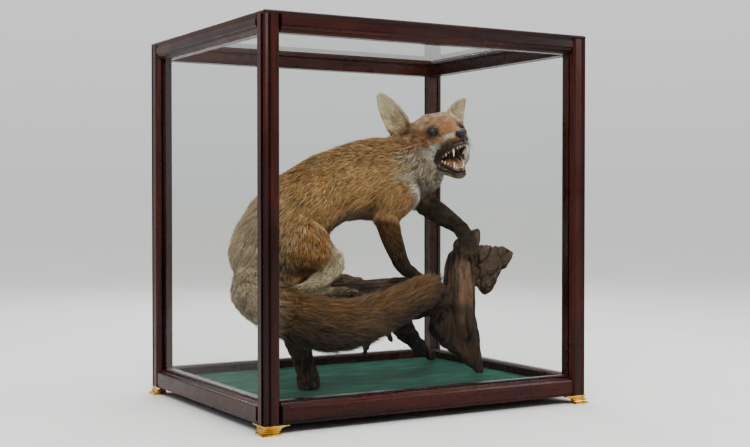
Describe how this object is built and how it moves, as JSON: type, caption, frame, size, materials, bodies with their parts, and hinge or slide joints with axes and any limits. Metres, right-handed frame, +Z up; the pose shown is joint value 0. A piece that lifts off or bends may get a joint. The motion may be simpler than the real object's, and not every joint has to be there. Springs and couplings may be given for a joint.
{
  "type": "taxidermy fox in glass case",
  "caption": "Life-size red fox mounted snarling on a driftwood log, in a glazed hardwood display case with a green cloth floor and moulded brass bracket feet.",
  "frame": {"origin": "centre of the case's footprint, on the surface that its brass feet stand on", "axes": "+Z up; -Y faces out through the long front pane, the side that the fox turns its head to; +X runs right along that pane, from the fox's rump towards its chest"},
  "size_m": [0.706, 0.558, 0.722],
  "materials": {
    "mahogany": "polished",
    "glass": "polished",
    "brass": "polished",
    "baize": "matte",
    "driftwood": "rough",
    "coat_red": "fur",
    "coat_pale": "fur",
    "coat_dark": "fur",
    "nose_pad": "satin",
    "eye": "polished",
    "enamel": "gloss",
    "tongue": "satin"
  },
  "bodies": {
    "root": {"post_front_left": "mahogany", "post_front_right": "mahogany", "post_back_right": "mahogany", "post_back_left": "mahogany", "top_rail_front": "mahogany", "bottom_rail_front": "mahogany", "top_rail_right": "mahogany", "bottom_rail_right": "mahogany", "top_rail_back": "mahogany", "bottom_rail_back": "mahogany", "top_rail_left": "mahogany", "bottom_rail_left": "mahogany", "pane_front": "glass", "pane_back": "glass", "pane_left": "glass", "pane_right": "glass", "pane_top": "glass", "base_board": "mahogany", "baize_floor": "baize", "foot_front_left": "brass", "foot_front_right": "brass", "foot_back_right": "brass", "foot_back_left": "brass", "fox_trunk": "coat_red", "fox_neck": "coat_red", "fox_head": "coat_red", "fox_ear_right": "coat_red", "fox_ear_left": "coat_red", "fox_jaw": "coat_pale", "fox_eye_right": "eye", "fox_eye_left": "eye", "fox_nose": "nose_pad", "fox_teeth_upper": "enamel", "fox_teeth_lower": "enamel", "fox_tongue": "tongue", "fox_fore_right_upper": "coat_red", "fox_fore_right_lower": "coat_dark", "fox_fore_right_paw": "coat_dark", "fox_fore_left_upper": "coat_red", "fox_fore_left_lower": "coat_dark", "fox_fore_left_paw": "coat_dark", "fox_hind_right_upper": "coat_red", "fox_hind_right_lower": "coat_pale", "fox_hind_right_paw": "coat_dark", "fox_hind_left_upper": "coat_red", "fox_hind_left_lower": "coat_pale", "fox_hind_left_paw": "coat_dark", "fox_tail_1": "coat_red", "fox_tail_2": "coat_red", "fox_tail_3": "coat_red", "fox_tail_4": "coat_red", "wood_log": "driftwood", "wood_trunk": "driftwood", "wood_horn": "driftwood", "wood_spike": "driftwood", "wood_knot": "driftwood", "wood_stump": "driftwood", "wood_root_back": "driftwood"}
  },
  "joints": []
}
